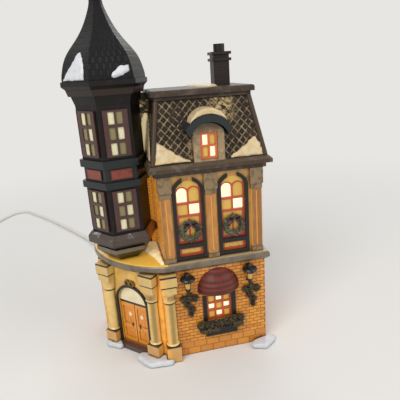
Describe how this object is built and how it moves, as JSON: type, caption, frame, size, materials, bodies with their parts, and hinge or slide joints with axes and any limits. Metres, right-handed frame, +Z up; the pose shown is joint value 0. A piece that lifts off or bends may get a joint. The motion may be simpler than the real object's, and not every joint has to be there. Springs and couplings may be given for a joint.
{
  "type": "ceramic christmas village house",
  "caption": "Lit ceramic village house with a corner entrance, an onion-domed tower, a mansard roof, and a clip-in lamp on a switched cord.",
  "frame": {"origin": "middle of the base on the table, under the middle of the house without its cord", "axes": "+Z up, -Y out of the shop front, +X to the viewer's right"},
  "size_m": [0.377, 0.5214, 0.3114],
  "materials": {
    "ground_brick": "hand-painted, semi-gloss",
    "snow_ledge": "painted snow, gloss",
    "upper_wall": "hand-painted, semi-gloss",
    "eave": "gloss",
    "slates": "hand-painted slates, gloss",
    "roof_cap": "gloss",
    "chimney": "semi-gloss",
    "dormer": "semi-gloss",
    "dark_trim": "gloss",
    "snow": "sponged snow, semi-gloss",
    "sash_red": "semi-gloss",
    "tower_stone": "semi-gloss",
    "tower_sash": "semi-gloss",
    "tower_cornice": "gloss",
    "dome_slate": "high gloss",
    "pilaster": "semi-gloss",
    "black_iron": "gloss",
    "greenery": "semi-gloss",
    "bow": "semi-gloss",
    "column_cream": "semi-gloss",
    "door_wood": "semi-gloss",
    "fanlight": "semi-gloss",
    "step_stone": "semi-gloss",
    "awning": "semi-gloss",
    "flower_box": "semi-gloss",
    "lantern_glass": "gloss",
    "lamp_plastic": "satin",
    "switch_wheel": "satin",
    "cord": "satin",
    "tie": "satin",
    "clip_steel": "plain",
    "brass": "plain",
    "bulb": "clear"
  },
  "bodies": {
    "house": {"arch_frames": "black_iron", "arch_sashes": "sash_red", "awning": "awning", "chimney_pot": "chimney", "chimney_stack": "chimney", "columns": "column_cream", "dome": "dome_slate", "dome_finial": "dome_slate", "door_step": "step_stone", "dormer_body": "dormer", "dormer_hood": "dark_trim", "dormer_sash": "sash_red", "dormer_snow": "snow", "eave": "eave", "entrance_arch": "black_iron", "entrance_door": "door_wood", "entrance_fanlight": "fanlight", "flower_box": "flower_box", "flower_box_greenery": "greenery", "ground_storey": "ground_brick", "hanging_greenery": "greenery", "lantern_glass": "lantern_glass", "ledge": "snow_ledge", "mansard": "slates", "pilasters": "pilaster", "roof_cap": "roof_cap", "shop_sash": "sash_red", "shutters": "black_iron", "snow_drifts": "snow", "tower_band": "dark_trim", "tower_corbel": "tower_stone", "tower_cornice": "tower_cornice", "tower_lower_sashes": "tower_sash", "tower_lower_storey": "dark_trim", "tower_sill": "tower_stone", "tower_upper_sashes": "tower_sash", "tower_upper_storey": "dark_trim", "upper_storey": "upper_wall", "wall_lanterns": "black_iron", "wreath_bows": "bow", "wreaths": "greenery"},
    "lamp": {"lamp_flange": "lamp_plastic", "lamp_socket": "lamp_plastic", "socket_shell": "brass", "socket_contact": "brass", "spring_clip": "clip_steel", "strain_relief": "lamp_plastic", "cord_lead": "cord", "cord_coil": "cord", "cord_mid": "cord", "cord_tail": "cord", "coil_tie": "tie", "switch_base": "lamp_plastic", "switch_cover": "lamp_plastic", "switch_screws": "clip_steel", "plug_body": "lamp_plastic", "plug_blades": "brass"},
    "bulb": {"bulb_glass": "bulb", "bulb_base": "brass"},
    "wheel": {"switch_wheel": "switch_wheel"}
  },
  "joints": [
    {"name": "lamp_pull", "type": "slide", "parent": "house", "child": "lamp", "axis": [0, 1, 0], "range_m": [0, 0.07]},
    {"name": "bulb_turn", "type": "hinge", "parent": "lamp", "child": "bulb", "pos_m": [0, 0.03, 0.046], "axis": [0, 1, 0], "continuous": true},
    {"name": "wheel_turn", "type": "hinge", "parent": "lamp", "child": "wheel", "pos_m": [-0.05137, 0.21161, 0.0065], "axis": [0, 0, 1], "continuous": true}
  ]
}
